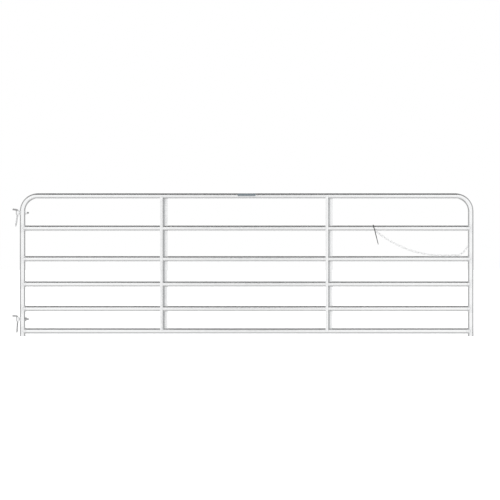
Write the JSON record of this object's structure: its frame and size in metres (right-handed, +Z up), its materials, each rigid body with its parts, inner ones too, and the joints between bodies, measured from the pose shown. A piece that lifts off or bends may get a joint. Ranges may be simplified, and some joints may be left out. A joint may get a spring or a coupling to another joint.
{
  "type": "tubular field gate",
  "caption": "Galvanised tubular farm gate with bent top corners, Z-section braces, pipe-barrel hinges with loose lag hooks, and a latch chain parked on a rail.",
  "frame": {"origin": "on the hinge axis, at the middle of the lower hinge barrel", "axes": "+X from the hinge end to the latch end along the leaf, +Y to the back of the leaf, +Z up along the hinge axis"},
  "size_m": [4.26, 0.0912, 1.3208],
  "materials": {
    "galvanised_tube": "bright hot-dip zinc with faint spangle",
    "galvanised_sheet": "bright hot-dip zinc sheet",
    "zinc_hardware": "zinc-plated forged steel",
    "zinc_chain": "bright zinc plate",
    "plain_steel": "dark plain steel",
    "label_film": "blank film"
  },
  "bodies": {
    "leaf": {"frame_tube": "galvanised_tube", "rail_2": "galvanised_tube", "rail_3": "galvanised_tube", "rail_4": "galvanised_tube", "rail_5": "galvanised_tube", "bottom_rail": "galvanised_tube", "hinge_side_brace": "galvanised_sheet", "latch_side_brace": "galvanised_sheet", "upper_hinge_barrel": "zinc_hardware", "upper_hinge_bolt": "zinc_hardware", "upper_hinge_washer": "zinc_hardware", "upper_hinge_nut": "zinc_hardware", "lower_hinge_barrel": "zinc_hardware", "lower_hinge_bolt": "zinc_hardware", "lower_hinge_washer": "zinc_hardware", "lower_hinge_nut": "zinc_hardware", "chain_staple": "zinc_chain", "blank_label": "label_film"},
    "upper_hook": {"upper_lag_hook": "zinc_hardware"},
    "lower_hook": {"lower_lag_hook": "zinc_hardware"},
    "latch_chain": {"chain_links": "zinc_chain", "latch_hook": "plain_steel"}
  },
  "joints": [
    {"name": "upper_hook_swivel", "type": "hinge", "parent": "leaf", "child": "upper_hook", "pos_m": [0, 0, 0.982], "axis": [0, 0, 1], "range_deg": [-120, 120]},
    {"name": "lower_hook_swivel", "type": "hinge", "parent": "leaf", "child": "lower_hook", "pos_m": [0, 0, 0], "axis": [0, 0, 1], "range_deg": [-120, 120]},
    {"name": "chain_lift", "type": "hinge", "parent": "leaf", "child": "latch_chain", "pos_m": [4.1417, 0, 0.64997], "axis": [0, 1, 0], "range_deg": [0, 4.5]}
  ]
}
